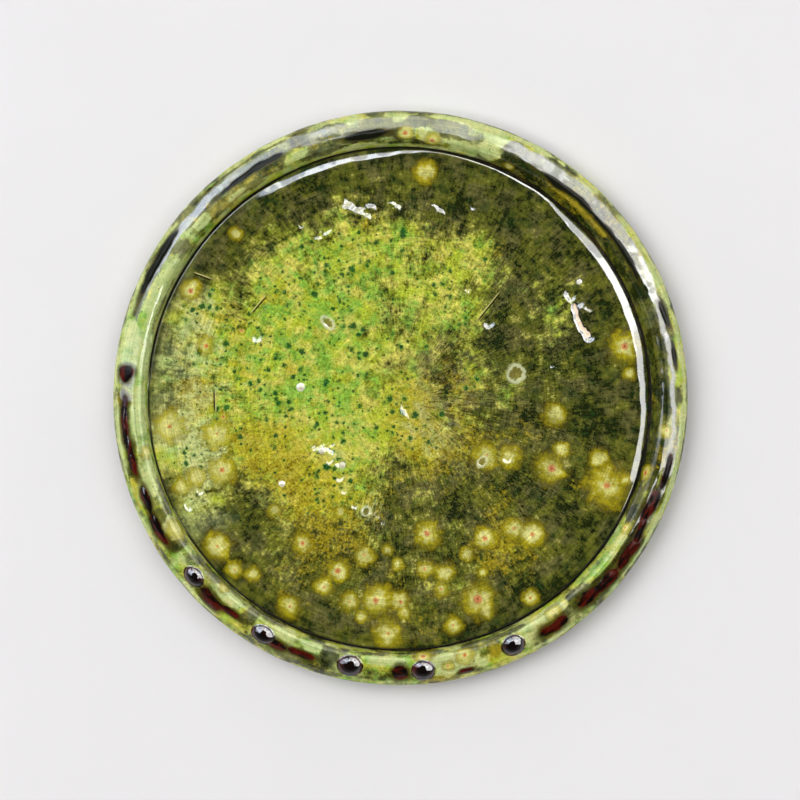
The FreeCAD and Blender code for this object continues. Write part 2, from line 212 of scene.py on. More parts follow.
# The brown runs along the crest: (middle, half length, half width, height, distance from the axis).
RUNS = [
    (175.5, 2, 2.4, 0.35, 95.6), (185, 5.6, 1.5, 0.45, 96.4), (192.3, 4.6, 1.3, 0.4, 96),
    (202, 2.8, 1.4, 0.45, 95.2), (208.5, 4.6, 1.5, 0.45, 95.4), (226.6, 3.4, 1.9, 0.45, 95.8),
    (231, 2.6, 1, 0.25, 95), (243.2, 2.4, 1.7, 0.4, 95.8), (248.6, 2.8, 1.1, 0.25, 95.4),
    (269.8, 1.8, 2.3, 0.4, 95.6), (283.5, 1.5, 0.8, 0.25, 97.6), (304.2, 3.4, 2, 0.5, 95.6),
    (313.6, 3.4, 2.1, 0.5, 95.2), (318, 3.4, 2.2, 0.5, 95.2), (325.6, 3.6, 2.1, 0.5, 95.4),
    (331, 3.4, 1.4, 0.4, 95.2), (336.6, 3.6, 2, 0.5, 95), (344.5, 3.8, 1.3, 0.4, 95.6),
    (97, 4.8, 1.4, 0.45, 92.2), (124, 8, 1, 0.4, 94.2), (151, 8.5, 1.3, 0.5, 96.9),
    (9, 3, 0.9, 0.3, 96.3), (18, 2.8, 1, 0.35, 96.4), (34, 8, 1, 0.35, 92.6), (52, 7, 1, 0.35, 92.6),
]
# Drops that hung from the crest: (angle, distance, half width along the rim, half width across, height).
BEADS = [
    (220.8, 94.8, 4, 3, 2.2), (239.8, 95, 4.1, 3.2, 2.3), (259.3, 94.6, 4.3, 3.7, 2.5),
    (274.8, 95, 4.1, 3.6, 2.4), (294.5, 94.4, 4.1, 3.6, 2.4),
]


# ---------------------------------------------------------------- noise and small maths

LATTICE = np.random.default_rng(11).uniform(-1, 1, 4096)
LATTICE_PRIMES = (73856093, 19349663, 83492791)
SEED_PRIME = 7919


def lattice_noise(points, seed):
    """Smooth noise from -1 to 1, for points of shape (..., 3)."""
    cell = np.floor(points).astype(np.int64)
    part = points - cell
    part = part * part * (3 - 2 * part)
    total = np.zeros(points.shape[:-1])
    for corner in itertools.product((0, 1), repeat=3):
        index = seed * SEED_PRIME
        for axis, prime in enumerate(LATTICE_PRIMES):
            index = index ^ (cell[..., axis] + corner[axis]) * prime
        weight = np.prod(np.where(corner, part, 1 - part), axis=-1)
        total += weight * LATTICE[index & (len(LATTICE) - 1)]
    return total


def rough(points, size, seed, octaves=3):
    """Noise with features of about that size, and finer ones on them."""
    layers = [lattice_noise(points / size * 2 ** i + 17.3 * i, seed + i) / 2 ** i for i in range(octaves)]
    return sum(layers)


def stack(*values):
    """Points from their coordinates, each a number or an array."""
    return np.stack(np.broadcast_arrays(*[np.asarray(v, float) for v in values]), axis=-1)


def smooth(value, low, high):
    """0 at low, 1 at high, and smooth between. low may be above high."""
    t = np.clip((value - low) / (high - low), 0, 1)
    return t * t * (3 - 2 * t)


def place(angle, distance):
    """The point at that angle (degrees) and distance."""
    turn = np.radians(angle)
    return distance * np.cos(turn), distance * np.sin(turn)


def round_axis(angle, distance, height=0):
    """The same, with a height."""
    return stack(*place(angle, distance), height)


def angle_gap(a, b):
    """The signed gap between two angles, in degrees."""
    return (a - b + 180) % 360 - 180


def sector(angle, middle, outer, inner):
    """1 round the middle angle, fading to 0 from the inner gap to the outer one."""
    return smooth(np.abs(angle_gap(angle, middle)), outer, inner)


def oval(x, y, angle, distance, across, out=None):
    """How far points lie from an oval's middle, as a share of its half widths; round if out is not given."""
    px, py = place(angle, distance)
    out_x, out_y = place(angle, 1)
    u = (y - py) * out_x - (x - px) * out_y
    v = (x - px) * out_x + (y - py) * out_y
    return np.hypot(u / across, v / (out or across))


def zone_sum(x, y, zones):
    """Soft round zones added up."""
    return sum(strength * np.exp(-oval(x, y, *spot) ** 2) for *spot, strength in zones)


def nearest(spots):
    """The least share among pairs of share and core, at most 3, and the core that goes with it."""
    best, core = 3.0, 0.0
    for share, spot_core in spots:
        core = np.where(share < best, spot_core, core)
        best = np.minimum(share, best)
    return best, core


# ---------------------------------------------------------------- meshes

def mesh_object(name, rings, closed_loop, attributes, material, cap=False):
    """A closed mesh from rings of points, shape (rings, around, 3), in millimetres.

    Each ring closes on itself. closed_loop joins the last ring to the first; cap closes both ends with
    a fan to the middle of the end ring.
    """
    count, around = rings.shape[:2]
    total = count * around
    points = rings.reshape(-1, 3)
    ring = np.arange(count if closed_loop else count - 1)[:, None]
    step = np.arange(around)
    beside = (step + 1) % around
    after = (ring + 1) % count
    quads = stack(ring * around + step, ring * around + beside,
                  after * around + beside, after * around + step).astype(int).reshape(-1, 4)
    tris = np.zeros((0, 3), int)
    if cap:
        points = np.vstack([points, rings[0].mean(0), rings[-1].mean(0)])
        last = total - around
        fans = stack(total, beside, step), stack(total + 1, last + step, last + beside)
        tris = np.vstack(fans).astype(int)
    sizes = np.concatenate([np.full(len(quads), 4), np.full(len(tris), 3)])
    mesh = bpy.data.meshes.new(name)
    mesh.vertices.add(len(points))
    mesh.vertices.foreach_set("co", (points * MM).astype(np.float32).ravel())
    mesh.loops.add(int(sizes.sum()))
    mesh.loops.foreach_set("vertex_index", np.concatenate([quads.ravel(), tris.ravel()]).astype(np.int32))
    mesh.polygons.add(len(sizes))
    mesh.polygons.foreach_set("loop_start", (np.cumsum(sizes) - sizes).astype(np.int32))
    mesh.polygons.foreach_set("use_smooth", np.ones(len(sizes), bool))
    mesh.update(calc_edges=True)
    for key, values in attributes.items():
        data = np.asarray(values, np.float32).reshape(-1)
        if cap:
            data = np.append(data, [data[0], data[-1]]).astype(np.float32)
        mesh.attributes.new(key, "FLOAT", "POINT").data.foreach_set("value", data)
    mesh.validate()
    made = bpy.data.objects.new(name, mesh)
    bpy.context.scene.collection.objects.link(made)
    made.data.materials.append(material)
    return made


def finish_piece(made, slot, *nodes):
    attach(made, "root")
    if nodes:
        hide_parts(*nodes)
    return made


# What the green glaze reads at each point, where a piece has nothing of that kind.
NOTHING_THERE = {"halo": 3, "core": 0, "run": -2, "rusty": 0, "dull": 0, "pips": 0, "scratch_off": 9,
                 "scratch_on": 0, "bare": 0, "crater": 3, "grit": 0}


def glaze_fields(shape, **fields):
    """The values for every point of a piece in the green glaze."""
    return {key: np.broadcast_to(value, shape) for key, value in {**NOTHING_THERE, **fields}.items()}


# ---------------------------------------------------------------- the floor's glaze

def floor_height(x, y):
    """The top of the floor's glaze, in mm, at points inside the crease."""
    radius = np.hypot(x, y)
    angle = np.degrees(np.arctan2(y, x))
    turn = round_axis(angle, 1)
    plane = stack(x, y, 0)
    ragged = rough(plane, 1.6, 24, 2)
    shoulder = SHOULDER + 0.45 * rough(turn, 0.22, 5) + 0.25 * rough(turn, 0.05, 8, 2)
    shoulder += 2.1 * sector(angle, 70, 28, 12) - 0.7 * sector(angle, 25, 28, 14)
    height = FLOOR_TOP + 0.16 * rough(plane, 55, 21, 2) + 0.022 * rough(plane, 6, 22, 2)
    height += 0.028 * rough(round_axis(angle, 1.5, radius), 2.6, 23, 2)
    soft = 0.32
    slope = BEVEL_SLOPE * (0.45 + 0.55 * sector(angle, 52, 76, 62)) * (1 + 0.12 * rough(turn, 0.3, 9, 2))
    height -= slope * soft * np.logaddexp(0, (radius - shoulder) / soft)
    for *spot, depth in PITS:
        share = oval(x, y, *spot) * (1 + 0.28 * ragged)
        height -= depth * np.exp(-share ** 3.2) - 0.1 * np.exp(-((share - 1.35) / 0.28) ** 2)
    for *spot, depth in DENTS:
        height -= depth * np.exp(-(oval(x, y, *spot) * (1 + 0.35 * ragged)) ** 2)
    facing_x, facing_y = place(FACET_FACING, 1)
    for spot in FACETS:
        px, py = place(*spot[:2])
        facet = FLOOR_TOP + 0.1 - FACET_SLOPE * ((x - px) * facing_x + (y - py) * facing_y)
        height += (facet - height) * smooth(oval(x, y, *spot) * (1 + 0.3 * ragged), 1.3, 0.95)
    for spot in CRATERS:
        share = oval(x, y, *spot) * (1 + 0.4 * ragged)
        edge = (share - 1) * (spot[2] + spot[3]) / 2
        height += 0.15 * np.exp(-(edge / 0.42) ** 2) - 0.16 * np.exp(-(share / 0.8) ** 4)
    for spot in GRIT:
        height += 0.5 * np.exp(-(oval(x, y, *spot) * (1 + 0.2 * ragged)) ** 3)
    for *spot, core in HALOS:
        share = oval(x, y, *spot)
        height += 0.035 * np.exp(-(share / 0.8) ** 2)
        if core:
            height -= 0.16 * np.exp(-(share * spot[2] / max(core * 0.7, 0.5)) ** 2)
    height = np.maximum(height, CLAY_TOP + 0.14 - 3 * smooth(radius, 84, 86))
    bare = scar_field(x, y)
    return height * (1 - bare) + (CLAY_TOP + 0.12 + 0.12 * ragged) * bare


def scar_distance(x, y):
    """How far points lie from the scar's line."""
    best = np.full(x.shape, 99.0)
    ends = [place(*point) for point in SCAR]
    for (ax, ay), (bx, by) in zip(ends, ends[1:]):
        length = (bx - ax) ** 2 + (by - ay) ** 2
        t = np.clip(((x - ax) * (bx - ax) + (y - ay) * (by - ay)) / length, 0, 1)
        best = np.minimum(best, np.hypot(x - ax - t * (bx - ax), y - ay - t * (by - ay)))
    return best


def scar_field(x, y):
    """1 on the bare clay of the scar, 0 off it."""
    wobble = 0.35 * rough(stack(x, y, 0), 1.8, 31, 2)
    return 1 - smooth(scar_distance(x, y) + wobble, 0.55, 1.1)


def scratch_fields(x, y):
    """The signed distance from the nearest scratch, and 1 beside it between its ends."""
    off = np.full(x.shape, 9.0)
    on = np.zeros(x.shape)
    for first, last in SCRATCHES:
        (ax, ay), (bx, by) = place(*first), place(*last)
        length = math.hypot(bx - ax, by - ay)
        ux, uy = (bx - ax) / length, (by - ay) / length
        along = (x - ax) * ux + (y - ay) * uy
        side = -(x - ax) * uy + (y - ay) * ux
        near = (np.abs(side) < 2.5) & (along > -1) & (along < length + 1)
        off = np.where(near, side, off)
        on = np.where(near, smooth(along, -0.6, 1.2) * smooth(length - along, -0.6, 2.5), on)
    return off, on


def thin_seam(angle):
    """1 where the painted shade along the crease is a hair line, 0 where it is broad."""
    return sector(angle, 158, 78, 62)


def floor_attributes(x, y):
    """What the green glaze reads on the floor."""
    radius = np.hypot(x, y)
    angle = np.degrees(np.arctan2(y, x))
    halo, core = nearest((oval(x, y, *spot), rusty / spot[2]) for *spot, rusty in HALOS)
    edge_dark = 0.45 * smooth(radius, 74, 84) * (1 - 0.6 * sector(angle, 180, 55, 25))
    off, on = scratch_fields(x, y)
    crater, _ = nearest((oval(x, y, *spot), 0) for spot in CRATERS)
    grain, _ = nearest((oval(x, y, *spot), 0) for spot in GRIT)
    # seam is painted shade on the floor's edge where it drops into the crease.
    seam = crease_middle(angle) - 0.75 + 0.25 * thin_seam(angle) - radius
    return glaze_fields(
        x.shape, tone=0.04 + 1.12 * zone_sum(x, y, LIGHT_ZONES) - edge_dark,
        ochre=zone_sum(x, y, OCHRE_ZONES), milk=zone_sum(x, y, MILK_ZONES),
        green=zone_sum(x, y, GREEN_ZONES), pips=zone_sum(x, y, PIP_ZONES),
        halo=halo, core=core, along=radius, scratch_off=off, scratch_on=on, bare=scar_field(x, y),
        crater=crater, grit=np.exp(-(grain / 1.1) ** 3), seam=smooth(seam, 0.15, -0.1),
        calm=0.35 * smooth(radius, 55, 80) + 0.6 * smooth(radius, 82.5, 84))


def crease_middle(angle):
    """The radius of the crease's middle line at an angle in degrees: the plate is not quite round."""
    return 87.5 - 0.5 * np.cos(np.radians(angle - 30))


def floor_edge(angle):
    """The radius where the floor's glaze drops into the crease."""
    uneven = 0.14 * rough(round_axis(angle, 1), 0.12, 7, 3) - 0.25 * sector(angle, 25, 70, 40)
    return crease_middle(angle) - 0.35 + uneven + 0.5 * sector(angle, 181, 5, 2)


def make_floor(material):
    angle = np.linspace(0, 360, 720, endpoint=False)
    edge = floor_edge(angle)
    flat = np.linspace(0.6, 80, 106)[:, None] + 0 * angle
    outer = 80 + (edge - 80) * np.linspace(0.07, 1, 15)[:, None]
    x, y = place(angle, np.concatenate([flat, outer]))
    top = stack(x, y, floor_height(x, y))
    lips = [round_axis(angle, edge + 0.16, top[-1, :, 2] - drop) for drop in (0.12, 0.4)]
    under_path = [(86.6, 8.3), (84.2, 9.1), (82, 9.42), (40, 9.42), (0.6, 9.42)]
    under = [round_axis(angle, distance, height) for distance, height in under_path]
    rings = np.concatenate([top, lips, under])
    attributes = floor_attributes(rings[..., 0], rings[..., 1])
    made = mesh_object("floor_glaze", rings, False, attributes, material, cap=True)
    return finish_piece(made, "green_glaze", "face_glaze")


# ---------------------------------------------------------------- the rim's glaze

def arc_points(centre, radius, first, last):
    """Points on an arc from one angle to another."""
    count = max(3, int(abs(math.radians(last - first)) * radius / 0.08))
    return round_axis(np.linspace(first, last, count), radius)[:, :2] + centre


def bend(first, corner, last, count=90):
    """A curve from first to last that leaves towards the corner and arrives from it."""
    t = np.linspace(0, 1, count)[:, None]
    first, corner, last = np.array([first, corner, last])
    return (1 - t) ** 2 * first + 2 * t * (1 - t) * corner + t ** 2 * last


def rim_path():
    """The rim's glazed surface in section, from the crease over the crest to the line under the rim."""
    wall = bend((87.75, 8.3), (88.0, 11.1), (89.9, 14.6))
    inner_edge = bend((89.9, 14.6), (90.35, 15.5), (91.8, 15.62))
    crest = bend((91.8, 15.62), (92.6, 15.60), (93.3, 15.32))
    slope = np.linspace((93.3, 15.32), (97.0, 13.86), 60)
    rim = arc_points((95.217, 9.403), 4.8, 68.2, 0)
    roll = arc_points((92.217, 9.403), 7.8, 0, -68)
    under = np.array([[94.2, 2.26], [93.0, 2.26]])
    path = np.vstack([wall, inner_edge, crest, slope, rim, roll, under])
    keep = np.concatenate([[True], np.hypot(*np.diff(path, axis=0).T) > 1e-6])
    return path[keep]


PATH = rim_path()
PATH_LENGTHS = np.concatenate([[0], np.cumsum(np.hypot(*np.diff(PATH, axis=0).T))])
PATH_END = PATH_LENGTHS[-1]
PATH_SLOPES = np.gradient(PATH, PATH_LENGTHS, axis=0)
PATH_NORMALS = np.stack([-PATH_SLOPES[:, 1], PATH_SLOPES[:, 0]], axis=-1) / np.hypot(*PATH_SLOPES.T)[:, None]


def on_path(along):
    """Radius, height and outward normal of the section, at lengths along it."""
    return [np.interp(along, PATH_LENGTHS, values) for values in (*PATH.T, *PATH_NORMALS.T)]


def along_at(distance):
    """The length along the section where its upper side is that far from the axis."""
    upper = slice(0, int(np.argmax(PATH[:, 0])) + 1)
    return np.interp(distance, PATH[upper, 0], PATH_LENGTHS[upper])


def rim_point(angle, along, lift):
    """A point of the rim: its angle in degrees, length along the section, and lift off the surface."""
    radius, height, out, up = on_path(along)
    return round_axis(angle, radius + lift * out, height + lift * up)


def rim_lift(angle, along):
    """How far the rim's glaze surface stands off its even section."""
    surface = round_axis(angle, RIM_MIDDLE, along)
    flow = round_axis(angle, RIM_MIDDLE / 2.2, along)
    ring = round_axis(angle, 1)
    lift = 0.12 * rough(surface, 38, 41, 2) + 0.1 * rough(flow, 3, 42, 3)
    lumps = 0.3 * np.clip(rough(surface, 6.5, 43, 2), 0, 2) + 0.02 * rough(surface, 1.8, 44, 2)
    lift += lumps * np.exp(-((along - along_at(94.6)) / 4) ** 2)
    lip = along_at(93.2 + rough(ring, 0.1, 45, 3))
    lift += 0.25 * sector(angle, 75, 100, 80) * np.exp(-((along - lip) / 1.1) ** 2)
    fade = smooth(along, 0, 2) * smooth(PATH_END - along, 0, 3)
    foot = 87.5 - crease_middle(angle) - 0.1 * rough(ring, 0.15, 46, 2)
    return lift * fade + np.clip(foot, -0.35, 0.6) * smooth(along, 5, 0)


def band_at(angle):
    """The inner edge, outer edge and strength of the glassy band at an angle."""
    table = np.array(GLASSY_BAND)
    return [np.interp(angle, table[:, 0], table[:, column], period=360) for column in (1, 2, 3)]


def rim_spot(angle, along, middle, distance, radius):
    """How far points lie from a spot on the rim, as a share of its radius."""
    return np.hypot(np.radians(angle_gap(angle, middle)) * distance, along - along_at(distance)) / radius


def rim_attributes(angle, along):
    """What the green glaze reads on the rim."""
    surface = round_axis(angle, RIM_MIDDLE, along)
    halo, core = nearest((rim_spot(angle, along, *spot), rusty / spot[2]) for *spot, rusty in RIM_HALOS)
    radius = np.interp(along, PATH_LENGTHS, PATH[:, 0])
    near, far, strength = band_at(angle)
    waver = radius + 0.6 * rough(surface, 4, 57, 2)
    glassy = strength * smooth(waver, near - 0.15, near + 0.2) * smooth(waver, far + 0.3, far - 0.2)
    # Painted shade on the inner wall at the upper right, the side turned away from the light.
    painted_wall_shade = sector(angle, 22, 56, 34) * smooth(along, along_at(94.2), along_at(92.4))
    left = sector(angle, 170, 50, 25)
    top_left = sector(angle, 130, 55, 40)
    lower_half = sector(angle, 260, 100, 80)
    thin = thin_seam(angle)
    run = run_field(angle, along)

    tone = 0.55 + 0.75 * rough(round_axis(angle, RIM_MIDDLE / 1.6, along), 5, 51, 3)
    tone -= 1.2 * painted_wall_shade + 0.45 * smooth(along, PATH_END - 14, PATH_END - 6)
    tone += 0.7 * thin * smooth(along, 5, 2) - 1.2 * sector(angle, 325, 42, 30) * smooth(along, 1.6, 0.8)
    colour = {
        "tone": tone,
        "milk": 0.6 + 0.2 * left + 0.3 * top_left + 0.7 * rough(surface, 7, 53, 3) - 0.6 * painted_wall_shade,
        "green": 0.3 + 0.4 * left + 0.9 * rough(surface, 8, 54, 3) - 0.4 * painted_wall_shade,
        "ochre": 0.2 + 0.5 * rough(surface, 12, 52, 2)}
    ragged = 1 + 0.4 * rough(surface, 4, 55, 3)
    for middle, distance, half_angle, half_width, *changes in RIM_PATCHES:
        off = np.hypot(angle_gap(angle, middle) / half_angle, (along - along_at(distance)) / half_width)
        share = smooth(off * ragged, 1.35, 0.7)
        for key, change in zip(colour, changes):
            colour[key] = colour[key] + change * share
    colour["tone"] = colour["tone"] - 1.1 * glassy * (1 - lower_half)
    for key, most in (("milk", 2), ("green", 2.5), ("ochre", 2)):
        colour[key] = np.clip(colour[key], 0, most)

    inner_edge = np.exp(-((along - along_at(90.9)) / 1.6) ** 2)
    upper_slope = (1 - lower_half) * smooth(radius, 91, 92) * smooth(radius, 99.4, 98.6)
    covered = np.clip(upper_slope * (1 - 0.85 * glassy), 0, 1)
    dull = np.maximum(0.9 * lower_half * inner_edge, covered)
    dull = np.maximum(dull, sector(angle, 60, 126, 118) * smooth(run, -0.3, 0.1))
    # seam is painted shade at the foot of the wall beside the crease.
    return glaze_fields(
        angle.shape, **colour, halo=halo, core=core, along=along + 80, run=run, calm=0.8,
        rusty=sector(angle, 258, 104, 86), dull=np.clip(dull, 0, 1),
        seam=smooth(along, 0.6 - 0.35 * thin, 0.3 - 0.25 * thin))


def run_share(angle, along, run):
    """How far inside a run a point lies: 1 on its middle line, 0 on its edge, less outside."""
    middle, half_length, half_width, _, distance = run
    wander = 0.5 * rough(round_axis(angle, RIM_MIDDLE), 7, 61, 2)
    side = (along - along_at(distance) - wander) / half_width
    swell = 1 + 0.35 * rough(round_axis(angle, RIM_MIDDLE, along), 5, 62, 2)
    return swell - np.sqrt(side ** 2 + np.abs(angle_gap(angle, middle) / half_length) ** 3)


def run_field(angle, along):
    """The same for the run that a point is deepest in, at least -2."""
    return np.max([np.full(angle.shape, -2), *[run_share(angle, along, run) for run in RUNS]], axis=0)


def make_rim(material):
    under, upper = 9, 80
    along = np.concatenate([np.linspace(0, PATH_END, under), np.linspace(PATH_END, 0, upper)])[:, None]
    angle, along = np.broadcast_arrays(np.linspace(0, 360, 1080, endpoint=False), along)
    lift = rim_lift(angle, along)
    lift[:under] = -0.86
    rings = rim_point(angle, along, lift)
    made = mesh_object("rim_glaze_coat", rings, True, rim_attributes(angle, along), material)
    return finish_piece(made, "green_glaze", "rim_glaze")


def dome(middle, distance, half_u, half_v, lift_of, rings, under=-0.45):
    """A closed lens over the rim's surface: rings of points round its middle, their angles and lengths."""
    share = np.linspace(0.02, 1, rings)[:, None]
    turn = np.linspace(0, 2 * np.pi, 96, endpoint=False)
    angles = middle + np.degrees(share * np.cos(turn) * half_u / RIM_MIDDLE)
    alongs = along_at(distance) + share * np.sin(turn) * half_v
    lift = rim_lift(angles, alongs)
    top = rim_point(angles, alongs, lift + lift_of(angles, alongs, share + 0 * turn))
    low = rim_point(angles, alongs, lift + under)
    sheets = ((top, low), (angles, angles), (alongs, alongs))
    return [np.concatenate([upper, lower[::-1]]) for upper, lower in sheets]


def join(objects, name):
    """One object from several, with all their attributes."""
    with bpy.context.temp_override(active_object=objects[0], selected_editable_objects=objects):
        bpy.ops.object.join()
    objects[0].name = name
    objects[0].data.name = name
    return objects[0]


def make_runs(material):
    lumps = []
    for number, run in enumerate(RUNS):
        middle, half_length, half_width, height, distance = run

        def lift_of(angles, alongs, share):
            inside = run_share(angles, alongs, run)
            return 0.75 * height * smooth(inside, -0.15, 1) - 0.05 + np.minimum(inside, 0) * 0.25

        half_u = math.radians(half_length) * RIM_MIDDLE * 1.25
        rings, angles, alongs = dome(middle, distance, half_u, half_width * 1.9, lift_of, 20, under=-0.6)
        attributes = rim_attributes(angles, alongs)
        lumps.append(mesh_object(f"run_{number}", rings, False, attributes, material, cap=True))
    return finish_piece(join(lumps, "crest_runs"), "dark_glaze", "crest_glaze_runs")


def make_beads(material):
    skirt_from = 0.86  # share of the lens where the ball ends and its skirt begins
    flat = 0.12
    lumps = []
    for number, (middle, distance, half_u, half_v, height) in enumerate(BEADS):
        def lift_of(angles, alongs, share):
            uneven = 1 + 0.05 * rough(stack(angles, alongs, 0), 3, 71 + number, 1)
            ball = np.sqrt(np.clip(1 + flat - (share / skirt_from * uneven) ** 2, 0, 2)) - math.sqrt(flat)
            cap = np.where(share * uneven < skirt_from, ball / (math.sqrt(1 + flat) - math.sqrt(flat)), 0)
            skirt = 0.16 * np.exp(-((share - skirt_from) / 0.1) ** 2)
            return height * cap + skirt * (share > 0.7) - 0.05 - 0.3 * smooth(share, 0.93, 1)

        rings, angles, alongs = dome(middle, distance, half_u / skirt_from, half_v / skirt_from, lift_of, 34)
        along_rim = np.radians(angles - middle) * RIM_MIDDLE
        attributes = {"bead": np.hypot(along_rim / half_u, (alongs - along_at(distance)) / half_v)}
        lumps.append(mesh_object(f"bead_{number}", rings, False, attributes, material, cap=True))
    return finish_piece(join(lumps, "crest_beads"), "dark_glaze", "crest_glaze_beads")


# ---------------------------------------------------------------- crease, back and foot

def make_crease(material):
    angle = np.linspace(0, 360, 720, endpoint=False)
    level = 8.75 + 0.12 * rough(round_axis(angle, 1), 0.2, 81, 3) + 0.75 * sector(angle, 181, 6, 2)
    shares = np.array([0, 0.1, 0.25, 0.4, 0.5, 0.6, 0.75, 0.9, 1])[:, None]
    middle = crease_middle(angle)
    top = round_axis(angle, middle + 1.7 * (shares - 0.5), level + 0.12 * (2 * shares - 1) ** 2)
    under = [round_axis(angle, middle + out, height) for out, height in ((0.75, 8.2), (-0.7, 8.3))]
    rings = np.concatenate([top, under])
    pale = np.clip(sector(angle, 181, 8, 4) + sector(angle, 209, 4, 2), 0, 1)
    attributes = {"pale": np.broadcast_to(pale, rings.shape[:2])}
    made = mesh_object("crease_line", rings, True, attributes, material)
    return finish_piece(made, "dark_glaze", "crease_glaze")


def make_back(material):
    """The thin coat under the plate, with an uneven edge where it was wiped off the foot."""
    angle = np.linspace(0, 360, 480, endpoint=False)
    inner_edge = 62.6 + 0.9 * rough(round_axis(angle, 1), 0.16, 91, 3)
    shares = np.linspace(0, 1, 48)[:, None]
    radius = inner_edge + (93.4 - inner_edge) * shares
    clay = 3 + (radius - 61.2) / (94.82 - 61.2) * 0.07
    thick = 0.5 + 0.12 * rough(round_axis(angle, radius), 12, 92, 3)
    thick += 0.04 * rough(stack(radius * 0.8, 0, 0), 1.2, 93, 2)
    thick *= smooth(shares, 0, 0.035) * 0.9 + 0.1
    low = round_axis(angle, radius, clay - thick)
    high = round_axis(angle, radius, clay + 0.05)[::6][::-1]
    rings = np.concatenate([low, high])[::-1]
    made = mesh_object("back_glaze_coat", rings, True, {}, material)
    return finish_piece(made, "back_glaze", "back_glaze")


# ---------------------------------------------------------------- materials

def paint(red, green, blue):
    """An sRGB colour, 0 to 255, as linear RGBA."""
    def linear(value):
        value /= 255
        return value / 12.92 if value <= 0.04045 else ((value + 0.055) / 1.055) ** 2.4
    return linear(red), linear(green), linear(blue), 1.0


def add_node(tree, kind, inputs=None, **settings):
    """A new node, with its settings, and its inputs linked or set."""
    made = tree.nodes.new(kind)
    for key, value in settings.items():
        setattr(made, key, value)
    for key, value in (inputs or {}).items():
        put(tree, made.inputs[key], value)
    return made


def put(tree, socket, value):
    """Link a value to a socket, or set it."""
    if isinstance(value, bpy.types.NodeSocket):
        tree.links.new(value, socket)
    else:
        socket.default_value = value


class Graph:
    """A material's nodes, with short calls that return sockets."""

    def __init__(self, name):
        self.material = bpy.data.materials.new(name)
        self.material.use_nodes = True
        self.tree = self.material.node_tree
        self.shader = self.tree.nodes["Principled BSDF"]
        space = self.node("ShaderNodeTexCoord").outputs["Object"]
        self.mm = self.node("ShaderNodeVectorMath", {0: space, "Scale": 1 / MM},
                            operation="SCALE").outputs[0]
        x, y, self.z = self.node("ShaderNodeSeparateXYZ", {0: self.mm}).outputs
        self.radius = self.maths("SQRT", self.add(self.times(x, x), self.times(y, y)))
        safe = self.maths("MAXIMUM", self.radius, 0.5)
        self.turn_x, self.turn_y = self.maths("DIVIDE", x, safe), self.maths("DIVIDE", y, safe)

    def node(self, kind, inputs=None, **settings):
        return add_node(self.tree, kind, inputs, **settings)

    def maths(self, operation, a, b=0.0):
        return self.node("ShaderNodeMath", {0: a, 1: b}, operation=operation).outputs[0]

    def add(self, first, *others):
        for value in others:
            first = self.maths("ADD", first, value)
        return first

    def times(self, a, b):
        return self.maths("MULTIPLY", a, b)

    def less(self, a, b):
        return self.maths("SUBTRACT", a, b)

    def centred(self, value, factor):
        """Noise from 0 to 1, moved to lie round 0, and scaled."""
        return self.times(self.less(value, 0.5), factor)

    def step(self, value, low, high):
        """0 below low, 1 above high, and smooth between. low may be above high."""
        return self.node("ShaderNodeMapRange", {0: value, 1: low, 2: high, 3: 0.0, 4: 1.0},
                         interpolation_type="SMOOTHSTEP").outputs[0]

    def mix(self, share, a, b, blend="MIX"):
        return self.node("ShaderNodeMix", {0: share, 6: a, 7: b}, data_type="RGBA",
                         blend_type=blend).outputs[2]

    def coat(self, under, share, over, strength):
        """A colour under another that covers it by the share times the strength."""
        return self.mix(self.times(share, strength), under, over)

    def shifted(self, vector, shift):
        return self.node("ShaderNodeVectorMath", {0: vector, 1: shift}, operation="ADD").outputs[0]

    def noise(self, size, detail, roughness, shift=0.0, vector=None):
        """Noise with features of about that size, in mm, spread to fill most of 0 to 1."""
        point = self.shifted(vector or self.mm, (shift, shift * 0.7, shift * 1.3))
        made = self.node("ShaderNodeTexNoise", {"Vector": point, "Scale": 1 / size, "Detail": detail,
                                                "Roughness": roughness})
        return self.node("ShaderNodeMapRange", {0: made.outputs[0], 1: 0.25, 2: 0.75}).outputs[0]

    def flow(self, turns, out, along, detail, roughness, shift=0.0):
        """Noise stretched out from the axis or round it."""
        vector = self.node("ShaderNodeCombineXYZ", {0: self.times(self.turn_x, turns),
                                                    1: self.times(self.turn_y, turns),
                                                    2: self.times(along, out)}).outputs[0]
        return self.noise(1, detail, roughness, shift, vector)

    def cells(self, size, shift):
        """Distance to the nearest scattered point, in mm, and random numbers for each point."""
        made = self.node("ShaderNodeTexVoronoi", {"Vector": self.shifted(self.mm, (shift, shift, shift)),
                                                  "Scale": 1 / size}, voronoi_dimensions="3D")
        pick = self.node("ShaderNodeSeparateColor", {0: made.outputs["Color"]}).outputs
        return self.times(made.outputs["Distance"], size), pick

    def grains(self, size, shift, rare, largest, soft):
        """Scattered round grains, fewer the higher rare is."""
        distance, pick = self.cells(size, shift)
        limit = self.times(self.step(pick[0], rare, 1.0), largest)
        return self.step(self.less(limit, distance), *soft)

    def attribute(self, name):
        return self.node("ShaderNodeAttribute", attribute_name=name).outputs["Fac"]

    def finish(self, colour, roughness, bump=None, bump_height=0.02, ior=1.5):
        for key, value in (("Base Color", colour), ("Roughness", roughness), ("IOR", ior)):
            put(self.tree, self.shader.inputs[key], value)
        if bump is not None:
            made = self.node("ShaderNodeBump", {"Strength": 1.0, "Distance": bump_height * MM,
                                                "Height": bump})
            put(self.tree, self.shader.inputs["Normal"], made.outputs[0])
        return self.material


PITCH = paint(16, 9, 7)
RUST = paint(104, 26, 12)
OLIVE = paint(108, 110, 38)
LIME = paint(193, 206, 62)
STRAW = paint(224, 216, 108)
LEAF = paint(122, 190, 74)
OCHRE = paint(202, 178, 34)
CREAM = paint(232, 230, 172)
MILK = paint(176, 198, 134)
PINK = paint(214, 130, 96)
ORANGE = paint(224, 128, 48)
BISCUIT = paint(226, 186, 136)
